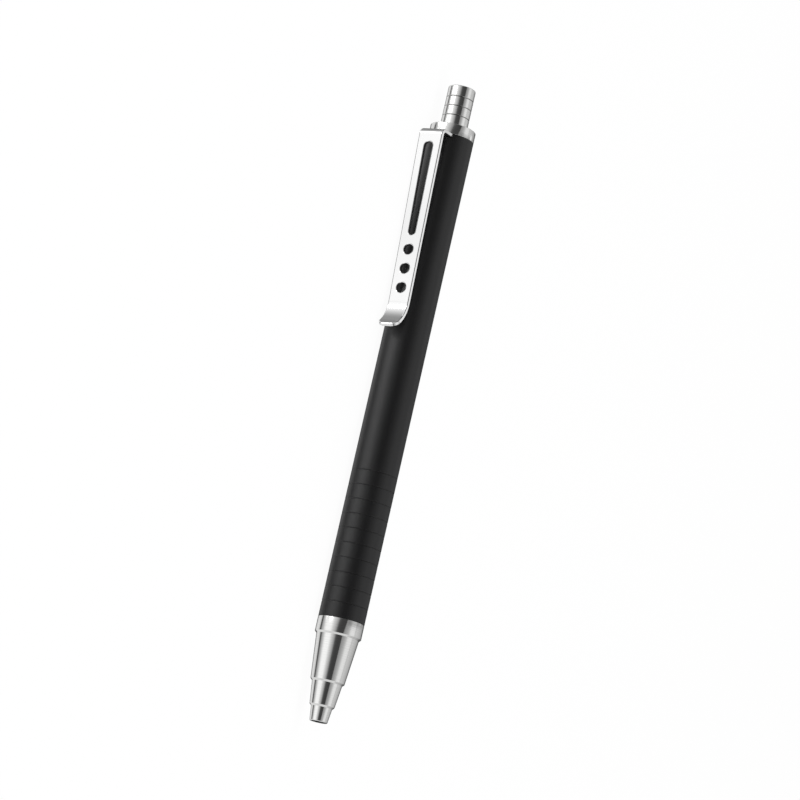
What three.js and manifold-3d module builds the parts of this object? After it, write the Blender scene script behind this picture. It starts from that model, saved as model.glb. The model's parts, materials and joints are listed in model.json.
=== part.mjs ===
// A retractable ballpoint pen: a grooved black barrel between a turned steel nose and a steel collar, with
// a push button and a pressed steel pocket clip. Inside are the click mechanism, the refill and its spring.
//
// Sizes are in millimetres. Every piece is drawn upright: y runs from the nose's tip towards the button,
// and the clip is on the +z side. At the end the pen is laid down with its tip at +X, so that it rests on
// its barrel and on the clip's corner.
import * as THREE from 'three';
import { mergeVertices } from 'three/addons/utils/BufferGeometryUtils.js';
import Module from 'manifold-3d';

const wasm = await Module();
wasm.setup();

// Clearances
const FIT = 0.05; // round a piece that is pressed or screwed in
const SLIDE = 0.15; // round a piece that slides
const SEAM = 0.02; // between two outside faces that are screwed up tight
const SEAT = 0.2; // between two hidden faces that rest on each other

// Outside of the pen
const PEN_RADIUS = 4.66; // the nose's band, the barrel and the collar are flush
const EDGE_CHAMFER = 0.12;
const TIP_TAPER = 2.88; // length of the nose's first taper, and its radius at both ends
const TIP_FRONT_RADIUS = 1.8;
const TIP_REAR_RADIUS = 2.12;
const MIDDLE_TAPER = 4.5;
const MIDDLE_FRONT_RADIUS = 2.5;
const MIDDLE_REAR_RADIUS = 3.03;
const MAIN_TAPER = 8.94;
const MAIN_FRONT_RADIUS = 3.42;
const MAIN_REAR_RADIUS = 4.28;
const NOSE_STEP = 0.38; // length of the chamfer from one taper up to the next
const NOSE_BAND = 2.9; // straight band at the nose's rear
const COLLAR_HEIGHT = 2.19;
const BUTTON_RADIUS = 2.8;
const BUTTON_PROUD = 8.72; // what stands out of the collar at rest
const BUTTON_CHAMFER = 0.25;

// Grooves round the grip and round the button
const GRIP_GROOVES = 10;
const GRIP_FIRST = 3.1; // from the barrel's front end
const GRIP_PITCH = 2.98;
const GRIP_WIDTH = 0.36;
const GRIP_DEPTH = 0.16;
const BUTTON_GROOVES = 3;
const BUTTON_FIRST = 2.38; // from the button's top
const BUTTON_PITCH = 1.99;
const BUTTON_GROOVE_WIDTH = 0.3;
const BUTTON_GROOVE_DEPTH = 0.15;

// Barrel and what is screwed or pressed into its ends
const BARREL_BORE = 3.3;
const END_WALL = 0.56; // barrel wall at the counterbores in its two ends
const INSERT_WALL = 0.45;
const SPIGOT_WALL = 0.6;
const NOSE_SPIGOT = 10; // length of the nose's thread inside the barrel
const FRONT_COUNTERBORE = 11.2;
const RING_SECTION = 0.38; // radius of the rubber sealing ring's section
const RING_GROOVE_START = 0.5; // from the nose's shoulder
const WASHER_THICKNESS = 0.4;
const LIP_LENGTH = 0.8; // the rear insert's lip, which carries the cam sleeve
const LIP_BORE = 2.95;

// Pocket clip
const CLIP_THICKNESS = 0.8;
const CLIP_TOP_WIDTH = 5.5;
const CLIP_END_WIDTH = 4.6;
const CLIP_REACH = 7.6; // from the pen's axis to the outer face at the top
const CLIP_BEND = 0.5; // inside radius of the bend at the top
const CLIP_LEAN = 3.4; // degrees that the arm leans in towards the barrel
const CLIP_ARM = 34.9; // straight length of the arm
const CLIP_FLARE = 6.2; // radius of the curl at the arm's end
const CLIP_FLARE_TURN = 49; // degrees
const CLIP_TAIL = 1.05; // straight length after the curl
const CLIP_END_CORNER = 1.4;
const CLIP_RING_WALL = 0.4; // ring round the collar's spigot
const SLOT_TOP = 2.97; // from the clip's top to the slot
const SLOT_LENGTH = 19.5;
const SLOT_TOP_WIDTH = 2.05;
const SLOT_END_WIDTH = 1.6;
const HOLE_COUNT = 3;
const HOLE_AFTER_SLOT = 2.93; // from the slot's end to the first hole's centre
const HOLE_PITCH = 3.95;
const HOLE_RADIUS = 1.075;

// Refill, measured from the front of its ball
const POINT_RECESS = 2.2; // from the nose's tip back to the ball, at rest
const REFILL_LENGTH = 98.3;
const REFILL_RADIUS = 2.95;
const REFILL_WALL = 0.3;
const BALL_RADIUS = 0.5;
const BALL_CLEARANCE = 0.05;
const BALL_PROUD = 0.26;
const POINT_RADIUS = 1.17;
const POINT_TAPER = 2.6; // to the end of the point's cone
const POINT_SHAFT = 11.3; // to the end of the point's shaft
const POINT_STEM = 3.6; // what is pressed into the neck
const POINT_STEM_RADIUS = 0.8;
const INK_CHANNEL = 0.3;
const NECK_RADIUS = 1.45;
const SHOULDER = 16.3; // to the shoulder that the spring pushes on
const FLANGE_LENGTH = 0.8;
const PLUG_DEPTH = 3.8; // how far the neck and the rear plug reach into the tube
const FOLLOWER_LENGTH = 6;
const AIR_LENGTH = 9.5; // empty stretch of the tube behind the follower
const REAR_PLUG_HEAD = 2.3;
const VENT_WIDTH = 0.9;
const VENT_DEPTH = 1.1;

// Return spring
const SPRING_SEAT = 7; // from the nose's tip to the shoulder that carries the spring
const SPRING_TURNS = 9;
const SPRING_RADIUS = 1.82; // to the middle of the wire
const WIRE_RADIUS = 0.18;
const SPRING_CLEARANCE = 0.25;

// Click mechanism
const LATCH_TRAVEL = 5; // from rest to the latched writing position
const OVERTRAVEL = 1; // what the button needs beyond that to turn the cam
const END_STOP = 0.38; // left between the button's foot and the cam sleeve at full travel
const BUTTON_ENGAGED = 1.7; // what of the button stands in the collar at rest
const ROTOR_STEM = 3.3; // from the refill to the cam sleeve
const ROTOR_FOOT = 2.4; // radius of the face that pushes the refill
const SLEEVE_LENGTH = 11;
const SLEEVE_BORE = 2.3;
const SLEEVE_REAR_WALL = 1.4; // behind the sleeve's grooves
const SHALLOW_GROOVE = 0.35; // depth of the grooves that guide only the plunger
const DEEP_GROOVE = 0.65; // depth of the grooves that also let the cam's ribs in
const RIBS = 4;
const RIB_ANGLE = 24; // degrees
const LUG_ANGLE = 10;
const GROOVE_SIDE_PLAY = 3; // degrees on either side of a rib or a lug
const TOOTH_HEIGHT = 0.8;
const RIB_START = 1.2; // from the sleeve's front to the front of the cam's ribs
const PIN_RADIUS = 1.05;
const PIN_LENGTH = 3.6; // the plunger's guide pin in the cam's bore
const STEM_RADIUS = 1.9;
const STEM_LENGTH = 4.4; // what of the plunger is pressed into the button
const BUTTON_BORE_END = 0.4; // left above the plunger's stem

const SIDES = 40; // facets round the outside of the pen
const INNER_SIDES = 32;
const SMALL_SIDES = 20;

// What follows from the sizes
const travel = LATCH_TRAVEL + OVERTRAVEL;
const noseLength = TIP_TAPER + MIDDLE_TAPER + MAIN_TAPER + 3 * NOSE_STEP + NOSE_BAND;
const barrelFront = noseLength + SEAM;
const counterbore = PEN_RADIUS - END_WALL;
const insertRadius = counterbore - FIT;
const insertBore = insertRadius - INSERT_WALL;
const spigotRadius = insertBore - FIT;
const refillRear = POINT_RECESS + REFILL_LENGTH;
const rotorFront = refillRear + SEAT;
const sleeveFront = rotorFront + ROTOR_STEM;
const sleeveRear = sleeveFront + SLEEVE_LENGTH;
const sleeveRadius = insertBore - FIT * 2;
const spigotFront = sleeveRear + SEAT;
const buttonFoot = spigotFront + END_STOP + travel;
const collarRear = buttonFoot + BUTTON_ENGAGED;
const collarFront = collarRear - COLLAR_HEIGHT;
const barrelRear = collarFront - SEAM;
const penLength = collarRear + BUTTON_PROUD;
const collarBore = BUTTON_RADIUS + SLIDE;
const clipUnderside = barrelRear - CLIP_THICKNESS;
const insertRear = clipUnderside - SEAT - WASHER_THICKNESS - SEAT;
const lipFront = sleeveFront - SEAT - LIP_LENGTH;
const deepGroove = SLEEVE_BORE + DEEP_GROOVE;
const plungerRadius = SLEEVE_BORE - SLIDE;
const grooveRear = sleeveRear - SLEEVE_REAR_WALL;
const ribTop = sleeveFront + TOOTH_HEIGHT + LATCH_TRAVEL;
const crownTip = ribTop - TOOTH_HEIGHT / 2 + SEAT;
const rotorBore = PIN_RADIUS + SLIDE;
const tubeBore = REFILL_RADIUS - REFILL_WALL;
const tubeFront = SHOULDER + FLANGE_LENGTH + SEAT;
const tubeRear = REFILL_LENGTH - REAR_PLUG_HEAD - SEAT;
const followerRear = tubeRear - PLUG_DEPTH - AIR_LENGTH;
const followerFront = followerRear - FOLLOWER_LENGTH;

const radians = THREE.MathUtils.degToRad;

// Round pieces, and their outlines as [radius, y] points

function turned(outline, sides = SIDES) {
  const points = outline.map(([radius, y]) => new THREE.Vector2(radius, y));
  return new THREE.LatheGeometry(points, sides);
}

// A ring from y = front to y = rear.
function tube(inner, outer, front, rear, sides = SIDES) {
  return turned([[inner, front], [outer, front], [outer, rear], [inner, rear], [inner, front]], sides);
}

function rod(radius, front, rear, sides = SIDES) {
  return turned([[0, front], [radius, front], [radius, rear], [0, rear]], sides);
}

// The points of a run of V grooves in a wall of this radius, in the order of rising y.
function grooves(count, first, pitch, width, depth, radius) {
  const points = [];
  for (let i = 0; i < count; i++) {
    const y = first + i * pitch;
    points.push([radius, y - width / 2], [radius - depth, y], [radius, y + width / 2]);
  }
  return points;
}

// A block from inner to outer radius, between two angles in degrees and two heights.
function sector(inner, outer, fromAngle, toAngle, front, rear) {
  const start = radians(fromAngle);
  const end = radians(toAngle);
  const shape = new THREE.Shape();
  shape.absarc(0, 0, outer, start, end, false);
  shape.absarc(0, 0, inner, end, start, true);
  const settings = { depth: rear - front, bevelEnabled: false, curveSegments: 6 };
  return new THREE.ExtrudeGeometry(shape, settings).rotateX(-Math.PI / 2).translate(0, front, 0);
}

// A ring with one flat end and one toothed end. A tooth is a list of [share of the pitch, height], and
// heights from 0 to 1 reach from y = base to y = crest. The first tooth starts at the angle turn, in degrees.
function toothedRing({ inner, outer, flat, base, crest, teeth, tooth, turn }) {
  const sections = [];
  for (let i = 0; i < teeth; i++) {
    for (const [share, height] of tooth) {
      const angle = radians(turn) + ((i + share) / teeth) * 2 * Math.PI;
      const y = base + height * (crest - base);
      const cos = Math.cos(angle);
      const sin = Math.sin(angle);
      const corners = [[inner, flat], [outer, flat], [outer, y], [inner, y]];
      sections.push(corners.map(([radius, level]) => [radius * cos, level, -radius * sin]));
    }
  }
  const positions = sections.flat(2);
  const index = [];
  const sectionSize = sections[0].length;
  for (let i = 0; i < sections.length; i++) {
    const here = i * sectionSize;
    const next = ((i + 1) % sections.length) * sectionSize;
    for (let corner = 0; corner < sectionSize; corner++) {
      const after = (corner + 1) % sectionSize;
      const [a, b, c, d] = [here + corner, here + after, next + corner, next + after];
      index.push(...(flat > base ? [a, b, c, b, d, c] : [a, c, b, b, c, d]));
    }
  }
  const geometry = new THREE.BufferGeometry();
  geometry.setAttribute('position', new THREE.Float32BufferAttribute(positions, 3));
  geometry.setIndex(index);
  return geometry;
}

const ZIGZAG = [[0, 0], [0.25, 0.5], [0.5, 1], [0.75, 0.5]];
const SAW = [[0, 0], [0.3, 1 / 3], [0.6, 2 / 3], [0.9, 1]];

// Joining and cutting

function toSolid(geometry) {
  const bare = geometry.clone();
  bare.deleteAttribute('normal');
  bare.deleteAttribute('uv');
  const welded = mergeVertices(bare, 1e-4);
  const corners = welded.index.array;
  const kept = [];
  for (let i = 0; i < corners.length; i += 3) {
    const [a, b, c] = corners.subarray(i, i + 3);
    if (a !== b && b !== c && c !== a) kept.push(a, b, c);
  }
  const vertProperties = welded.attributes.position.array;
  return new wasm.Manifold(new wasm.Mesh({ numProp: 3, vertProperties, triVerts: new Uint32Array(kept) }));
}

function toGeometry(solid) {
  const mesh = solid.getMesh();
  const geometry = new THREE.BufferGeometry();
  geometry.setAttribute('position', new THREE.BufferAttribute(mesh.vertProperties, 3));
  geometry.setIndex(new THREE.BufferAttribute(mesh.triVerts, 1));
  return geometry;
}

const joined = (solid, geometries) => geometries.reduce((sum, item) => sum.add(toSolid(item)), solid);
const cut = (solid, geometries) => geometries.reduce((rest, item) => rest.subtract(toSolid(item)), solid);

// Materials

function material(color, roughness, metalness) {
  return new THREE.MeshStandardMaterial({ color, roughness, metalness });
}

const turnedSteel = () => material(0xc9c9c7, 0.25, 1);
const clipSteel = () => material(0xe4e4e2, 0.15, 1);
const blackAnodised = () => material(0x1c1c1d, 0.5, 0.4);
const brass = () => material(0xb9974f, 0.35, 1);
const camPlastic = () => material(0xe9e6dc, 0.5, 0);
const redPlastic = () => material(0xb5362c, 0.5, 0);
const springSteel = () => material(0xa9abad, 0.3, 1);
const rubber = () => material(0x151515, 0.85, 0);
const ink = () => material(0x12142a, 0.2, 0);
const grease = () => material(0xd9cfa2, 0.3, 0);

// Outside and fixed pieces

function noseCone() {
  const middleFront = TIP_TAPER + NOSE_STEP;
  const mainFront = middleFront + MIDDLE_TAPER + NOSE_STEP;
  const ringStart = noseLength + RING_GROOVE_START;
  const ringEnd = ringStart + 2 * RING_SECTION + 2 * FIT;
  const ringBottom = counterbore - 2 * RING_SECTION - 2 * FIT;
  const spigotEnd = noseLength + NOSE_SPIGOT;
  const springBore = SPRING_RADIUS + WIRE_RADIUS + SPRING_CLEARANCE;
  const shoulderPressed = POINT_RECESS + SHOULDER - travel - SEAT;
  return turned([
    [POINT_RADIUS + SLIDE, 0],
    [TIP_FRONT_RADIUS - EDGE_CHAMFER, 0],
    [TIP_FRONT_RADIUS, EDGE_CHAMFER],
    [TIP_REAR_RADIUS, TIP_TAPER],
    [MIDDLE_FRONT_RADIUS, middleFront],
    [MIDDLE_REAR_RADIUS, middleFront + MIDDLE_TAPER],
    [MAIN_FRONT_RADIUS, mainFront],
    [MAIN_REAR_RADIUS, mainFront + MAIN_TAPER],
    [PEN_RADIUS, mainFront + MAIN_TAPER + NOSE_STEP],
    [PEN_RADIUS, noseLength],
    [spigotRadius, noseLength],
    [spigotRadius, ringStart],
    [ringBottom, ringStart],
    [ringBottom, ringEnd],
    [spigotRadius, ringEnd],
    [spigotRadius, spigotEnd],
    [REFILL_RADIUS + SLIDE, spigotEnd],
    [REFILL_RADIUS + SLIDE, shoulderPressed],
    [springBore, shoulderPressed],
    [springBore, SPRING_SEAT],
    [POINT_RADIUS + SLIDE, SPRING_SEAT],
    [POINT_RADIUS + SLIDE, 0],
  ]);
}

function sealingRing() {
  const middle = counterbore - FIT - RING_SECTION;
  const height = noseLength + RING_GROOVE_START + FIT + RING_SECTION;
  const outline = [];
  for (let i = 0; i <= 8; i++) {
    const angle = -(i / 8) * 2 * Math.PI;
    outline.push([middle - RING_SECTION * Math.cos(angle), height + RING_SECTION * Math.sin(angle)]);
  }
  return turned(outline, INNER_SIDES);
}

function barrel() {
  const gripFirst = barrelFront + GRIP_FIRST;
  const boreRear = lipFront - SEAT;
  const boreFront = barrelFront + FRONT_COUNTERBORE;
  const shell = turned([
    [counterbore, barrelFront],
    [PEN_RADIUS - EDGE_CHAMFER, barrelFront],
    [PEN_RADIUS, barrelFront + EDGE_CHAMFER],
    ...grooves(GRIP_GROOVES, gripFirst, GRIP_PITCH, GRIP_WIDTH, GRIP_DEPTH, PEN_RADIUS),
    [PEN_RADIUS, barrelRear - EDGE_CHAMFER],
    [PEN_RADIUS - EDGE_CHAMFER, barrelRear],
    [counterbore, barrelRear],
    [counterbore, boreRear],
    [BARREL_BORE, boreRear],
    [BARREL_BORE, boreFront],
    [counterbore, boreFront],
    [counterbore, barrelFront],
  ]);
  const notchWidth = CLIP_TOP_WIDTH + 2 * FIT;
  const notch = new THREE.BoxGeometry(notchWidth, 2 * (CLIP_THICKNESS + FIT), PEN_RADIUS);
  notch.translate(0, barrelRear, PEN_RADIUS);
  return toGeometry(cut(toSolid(shell), [notch]));
}

// Threaded bush in the barrel's front end, behind the sealing ring.
function frontInsert() {
  const front = noseLength + RING_GROOVE_START + 2 * (RING_SECTION + FIT) + SEAT;
  return tube(insertBore, insertRadius, front, barrelFront + FRONT_COUNTERBORE - SEAT, INNER_SIDES);
}

// Threaded bush in the barrel's rear end. Its lip carries the cam sleeve.
function rearInsert() {
  const lipRear = lipFront + LIP_LENGTH;
  return turned([
    [LIP_BORE, lipFront],
    [insertRadius, lipFront],
    [insertRadius, insertRear],
    [insertBore, insertRear],
    [insertBore, lipRear],
    [LIP_BORE, lipRear],
    [LIP_BORE, lipFront],
  ], INNER_SIDES);
}

function topCollar() {
  return turned([
    [collarBore, spigotFront],
    [spigotRadius, spigotFront],
    [spigotRadius, collarFront],
    [PEN_RADIUS, collarFront],
    [PEN_RADIUS, collarRear - EDGE_CHAMFER],
    [PEN_RADIUS - EDGE_CHAMFER, collarRear],
    [collarBore, collarRear],
    [collarBore, spigotFront],
  ]);
}

function clipWasher() {
  const front = clipUnderside - SEAT - WASHER_THICKNESS;
  return tube(spigotRadius + FIT, insertRadius, front, front + WASHER_THICKNESS, INNER_SIDES);
}

// The middle of the clip's strip, as points with a heading in degrees: 0 points away from the pen's
// axis and 90 towards its tip.
function clipPath() {
  const bend = CLIP_BEND + CLIP_THICKNESS / 2;
  const path = [];
  let out = spigotRadius - FIT;
  let y = barrelRear - CLIP_THICKNESS / 2;
  let heading = 0;
  const mark = () => path.push({ out, y, heading });
  const forward = (length) => {
    out += length * Math.cos(radians(heading));
    y -= length * Math.sin(radians(heading));
    mark();
  };
  const turn = (radius, degrees, steps) => {
    const chord = 2 * radius * Math.sin(radians(Math.abs(degrees) / steps / 2));
    for (let i = 0; i < steps; i++) {
      heading += degrees / steps / 2;
      out += chord * Math.cos(radians(heading));
      y -= chord * Math.sin(radians(heading));
      heading += degrees / steps / 2;
      mark();
    }
  };
  mark();
  forward(CLIP_REACH - CLIP_THICKNESS / 2 - bend - out);
  turn(bend, 90 + CLIP_LEAN, 6);
  forward(CLIP_ARM);
  turn(CLIP_FLARE, -CLIP_FLARE_TURN, 8);
  forward(CLIP_TAIL);
  return path;
}

// The clip is its side outline carried across the pen, where that meets its front outline.
function clip() {
  const path = clipPath();
  const side = (sign) => path.map(({ out, y, heading }) => {
    const offset = (sign * CLIP_THICKNESS) / 2;
    const angle = radians(heading);
    return new THREE.Vector2(out + offset * Math.sin(angle), y + offset * Math.cos(angle));
  });
  const strip = new THREE.Shape([...side(1), ...side(-1).reverse()]);
  const across = new THREE.ExtrudeGeometry(strip, { depth: CLIP_TOP_WIDTH + 2, bevelEnabled: false });
  across.rotateY(-Math.PI / 2).translate(CLIP_TOP_WIDTH / 2 + 1, 0, 0);

  const low = Math.min(...side(1).map((point) => point.y), ...side(-1).map((point) => point.y));
  const depth = 2 * CLIP_REACH;
  const front = new THREE.ExtrudeGeometry(clipFace(low), { depth, bevelEnabled: false, curveSegments: 6 });
  const ring = rod(spigotRadius + FIT + CLIP_RING_WALL, clipUnderside, barrelRear, INNER_SIDES);
  const spigotHole = rod(spigotRadius + FIT, clipUnderside - 1, barrelRear + 1, INNER_SIDES);
  const strap = toSolid(across).intersect(toSolid(front));
  return toGeometry(cut(joined(strap, [ring]), [spigotHole, ...clipCuts()]));
}

// The clip's front outline, from its top down to y = low, with two round corners there.
function clipFace(low) {
  const top = barrelRear;
  const endCorner = CLIP_END_WIDTH / 2 - CLIP_END_CORNER;
  const face = new THREE.Shape();
  face.moveTo(CLIP_TOP_WIDTH / 2, top);
  face.lineTo(-CLIP_TOP_WIDTH / 2, top);
  face.lineTo(-CLIP_END_WIDTH / 2, low + CLIP_END_CORNER);
  face.absarc(-endCorner, low + CLIP_END_CORNER, CLIP_END_CORNER, Math.PI, 1.5 * Math.PI, false);
  face.absarc(endCorner, low + CLIP_END_CORNER, CLIP_END_CORNER, 1.5 * Math.PI, 2 * Math.PI, false);
  face.closePath();
  return face;
}

// The long slot and the round holes in the clip's arm.
function clipCuts() {
  const slotTop = barrelRear - SLOT_TOP;
  const slotEnd = slotTop - SLOT_LENGTH;
  const slot = new THREE.Shape();
  slot.absarc(0, slotTop - SLOT_TOP_WIDTH / 2, SLOT_TOP_WIDTH / 2, 0, Math.PI, false);
  slot.absarc(0, slotEnd + SLOT_END_WIDTH / 2, SLOT_END_WIDTH / 2, Math.PI, 2 * Math.PI, false);
  const shapes = [slot];
  for (let i = 0; i < HOLE_COUNT; i++) {
    const hole = new THREE.Shape();
    hole.absarc(0, slotEnd - HOLE_AFTER_SLOT - i * HOLE_PITCH, HOLE_RADIUS, 0, 2 * Math.PI, false);
    shapes.push(hole);
  }
  const settings = { depth: CLIP_REACH, bevelEnabled: false, curveSegments: 10 };
  return shapes.map((shape) => new THREE.ExtrudeGeometry(shape, settings).translate(0, 0, PEN_RADIUS / 2));
}

// Sleeve of the click mechanism. Deep grooves let the cam's ribs in, shallow ones guide only the
// plunger's lugs, and the saw teeth on the lands between them hold the cam's ribs when the pen writes.
function camSleeve() {
  const halfDeep = RIB_ANGLE / 2 + GROOVE_SIDE_PLAY;
  const halfShallow = LUG_ANGLE / 2 + GROOVE_SIDE_PLAY;
  const body = toothedRing({
    inner: SLEEVE_BORE,
    outer: sleeveRadius,
    flat: sleeveRear,
    base: sleeveFront,
    crest: sleeveFront + TOOTH_HEIGHT,
    teeth: 2 * RIBS,
    tooth: SAW,
    turn: halfDeep + 2,
  });
  const groove = (outer, middle, half) => (
    sector(plungerRadius, outer, middle - half, middle + half, sleeveFront - 1, grooveRear)
  );
  const cuts = [];
  for (let i = 0; i < RIBS; i++) {
    const middle = (360 / RIBS) * i;
    cuts.push(groove(deepGroove, middle, halfDeep));
    cuts.push(groove(SLEEVE_BORE + SHALLOW_GROOVE, middle + 180 / RIBS, halfShallow));
  }
  return toGeometry(cut(toSolid(body), cuts));
}

// Moving pieces of the mechanism

// The cam that turns at each click. Its ribs run in the sleeve's deep grooves, and their slanted rear
// ends carry on round the hub as teeth for the plunger's crown.
function rotorCam() {
  const ribFront = sleeveFront + RIB_START;
  const ribRadius = deepGroove - SLIDE;
  const crown = toothedRing({
    inner: rotorBore,
    outer: ribRadius,
    flat: ribFront,
    base: ribTop - TOOTH_HEIGHT,
    crest: ribTop,
    teeth: 2 * RIBS,
    tooth: ZIGZAG,
    turn: -90 / (2 * RIBS),
  });
  const between = [];
  for (let i = 0; i < RIBS; i++) {
    const start = (360 / RIBS) * i + RIB_ANGLE / 2;
    const end = (360 / RIBS) * (i + 1) - RIB_ANGLE / 2;
    between.push(sector(plungerRadius, deepGroove, start, end, ribFront - 1, ribTop + 1));
  }
  const footRear = rotorFront + ROTOR_STEM / 3;
  const stem = turned([
    [0, rotorFront],
    [ROTOR_FOOT, rotorFront],
    [ROTOR_FOOT, footRear],
    [STEM_RADIUS, footRear],
    [STEM_RADIUS, ribFront + SEAT],
    [0, ribFront + SEAT],
  ], INNER_SIDES);
  return toGeometry(joined(cut(toSolid(crown), between), [stem]));
}

// The plunger's crown turns the cam, its lugs keep it from turning and from leaving the sleeve, and its
// stem is pressed into the button.
function plunger() {
  const lugRadius = SLEEVE_BORE + SHALLOW_GROOVE - SLIDE;
  const lugRear = grooveRear - SEAT;
  const crownRoot = crownTip + TOOTH_HEIGHT;
  const crown = toothedRing({
    inner: PIN_RADIUS - SLIDE,
    outer: lugRadius,
    flat: lugRear,
    base: crownTip,
    crest: crownRoot,
    teeth: 2 * RIBS,
    tooth: ZIGZAG,
    turn: 0,
  });
  const between = [];
  for (let i = 0; i < 2 * RIBS; i++) {
    const start = (180 / RIBS) * i + LUG_ANGLE / 2;
    const end = (180 / RIBS) * (i + 1) - LUG_ANGLE / 2;
    between.push(sector(plungerRadius, deepGroove, start, end, crownTip - 1, lugRear + 1));
  }
  const core = turned([
    [0, crownRoot - PIN_LENGTH - TOOTH_HEIGHT],
    [PIN_RADIUS, crownRoot - PIN_LENGTH - TOOTH_HEIGHT],
    [PIN_RADIUS, crownRoot + SEAT],
    [plungerRadius - FIT, crownRoot + SEAT],
    [plungerRadius - FIT, buttonFoot - SEAT],
    [STEM_RADIUS, buttonFoot - SEAT],
    [STEM_RADIUS, buttonFoot + STEM_LENGTH],
    [0, buttonFoot + STEM_LENGTH],
  ], INNER_SIDES);
  return toGeometry(joined(cut(toSolid(crown), between), [core]));
}

function pushButton() {
  const lowest = penLength - BUTTON_FIRST - (BUTTON_GROOVES - 1) * BUTTON_PITCH;
  const boreRadius = STEM_RADIUS + FIT;
  const boreEnd = buttonFoot + STEM_LENGTH + BUTTON_BORE_END;
  return turned([
    [boreRadius, buttonFoot],
    [BUTTON_RADIUS, buttonFoot],
    ...grooves(BUTTON_GROOVES, lowest, BUTTON_PITCH, BUTTON_GROOVE_WIDTH, BUTTON_GROOVE_DEPTH, BUTTON_RADIUS),
    [BUTTON_RADIUS, penLength - BUTTON_CHAMFER],
    [BUTTON_RADIUS - BUTTON_CHAMFER, penLength],
    [0, penLength],
    [0, boreEnd],
    [boreRadius, boreEnd],
    [boreRadius, buttonFoot],
  ], INNER_SIDES);
}

class Helix extends THREE.Curve {
  constructor(radius, front, rear, turns) {
    super();
    Object.assign(this, { radius, front, rear, turns });
  }

  getPoint(t, target = new THREE.Vector3()) {
    const angle = 2 * Math.PI * this.turns * t;
    const y = THREE.MathUtils.lerp(this.front, this.rear, t);
    return target.set(this.radius * Math.cos(angle), y, this.radius * Math.sin(angle));
  }
}

// From the shoulder in the nose to the shoulder of the refill, with a gap at each end.
function returnSpring() {
  const front = SPRING_SEAT + SEAT + WIRE_RADIUS;
  const rear = POINT_RECESS + SHOULDER - SEAT - WIRE_RADIUS;
  const wire = new THREE.Shape();
  wire.absarc(0, 0, WIRE_RADIUS, 0, 2 * Math.PI, false);
  return new THREE.ExtrudeGeometry(wire, {
    extrudePath: new Helix(SPRING_RADIUS, front, rear, SPRING_TURNS),
    steps: SPRING_TURNS * 12,
    curveSegments: 3,
    bevelEnabled: false,
  });
}

// Refill, with y measured from the front of its ball

function writingBall() {
  const outline = [];
  for (let i = 0; i <= 8; i++) {
    const angle = (i / 8) * Math.PI;
    const radius = i % 8 === 0 ? 0 : BALL_RADIUS * Math.sin(angle);
    outline.push([radius, BALL_RADIUS - BALL_RADIUS * Math.cos(angle)]);
  }
  return turned(outline, 16);
}

// The point, whose lip holds the ball in its socket and whose bore brings the ink.
function refillPoint() {
  const socket = BALL_RADIUS + BALL_CLEARANCE;
  const lip = Math.sqrt(BALL_RADIUS ** 2 - (BALL_RADIUS - BALL_PROUD) ** 2) + BALL_CLEARANCE / 2;
  const socketEnd = BALL_RADIUS * 1.7;
  const stemEnd = POINT_SHAFT + POINT_STEM;
  return turned([
    [lip, BALL_PROUD],
    [socket + 2 * BALL_CLEARANCE, BALL_PROUD],
    [POINT_RADIUS, POINT_TAPER],
    [POINT_RADIUS, POINT_SHAFT],
    [POINT_STEM_RADIUS, POINT_SHAFT],
    [POINT_STEM_RADIUS, stemEnd],
    [INK_CHANNEL, stemEnd],
    [INK_CHANNEL, socketEnd + socket - INK_CHANNEL],
    [socket, socketEnd],
    [socket, BALL_RADIUS],
    [lip, BALL_PROUD],
  ], SMALL_SIDES);
}

// The neck holds the point and closes the tube, and its flange is the shoulder for the spring.
function refillNeck() {
  const stemBore = POINT_STEM_RADIUS + FIT;
  const stemBoreEnd = POINT_SHAFT + POINT_STEM + SEAT;
  const flangeRear = SHOULDER + FLANGE_LENGTH;
  return turned([
    [stemBore, POINT_SHAFT + SEAT],
    [NECK_RADIUS, POINT_SHAFT + SEAT],
    [NECK_RADIUS, SHOULDER],
    [REFILL_RADIUS, SHOULDER],
    [REFILL_RADIUS, flangeRear],
    [tubeBore - FIT, flangeRear],
    [tubeBore - FIT, tubeFront + PLUG_DEPTH],
    [INK_CHANNEL, tubeFront + PLUG_DEPTH],
    [INK_CHANNEL, stemBoreEnd],
    [stemBore, stemBoreEnd],
    [stemBore, POINT_SHAFT + SEAT],
  ], SMALL_SIDES);
}

function refillTube() {
  return tube(tubeBore, REFILL_RADIUS, tubeFront, tubeRear, SMALL_SIDES);
}

function inkColumn() {
  return rod(tubeBore - FIT, tubeFront + PLUG_DEPTH + SEAT, followerFront - SEAT, SMALL_SIDES);
}

function inkFollower() {
  return rod(tubeBore - FIT, followerFront, followerRear, SMALL_SIDES);
}

// The plug in the tube's rear end, with a vent and two crossed slots in its head.
function refillRearPlug() {
  const headFront = REFILL_LENGTH - REAR_PLUG_HEAD;
  const plug = turned([
    [VENT_WIDTH / 2, tubeRear - PLUG_DEPTH],
    [tubeBore - FIT, tubeRear - PLUG_DEPTH],
    [tubeBore - FIT, headFront],
    [REFILL_RADIUS, headFront],
    [REFILL_RADIUS, REFILL_LENGTH],
    [VENT_WIDTH / 2, REFILL_LENGTH],
    [VENT_WIDTH / 2, tubeRear - PLUG_DEPTH],
  ], SMALL_SIDES);
  const slots = [0, 1].map((turn) => {
    const slot = new THREE.BoxGeometry(2 * REFILL_RADIUS + 1, 2 * VENT_DEPTH, VENT_WIDTH);
    return slot.rotateY((turn * Math.PI) / 2).translate(0, REFILL_LENGTH, 0);
  });
  return toGeometry(cut(toSolid(plug), slots));
}

// Assembly

function piece(name, geometry, finish) {
  const mesh = new THREE.Mesh(geometry, finish);
  mesh.name = name;
  return mesh;
}

function group(...pieces) {
  const made = new THREE.Group();
  made.add(...pieces);
  return made;
}

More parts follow.
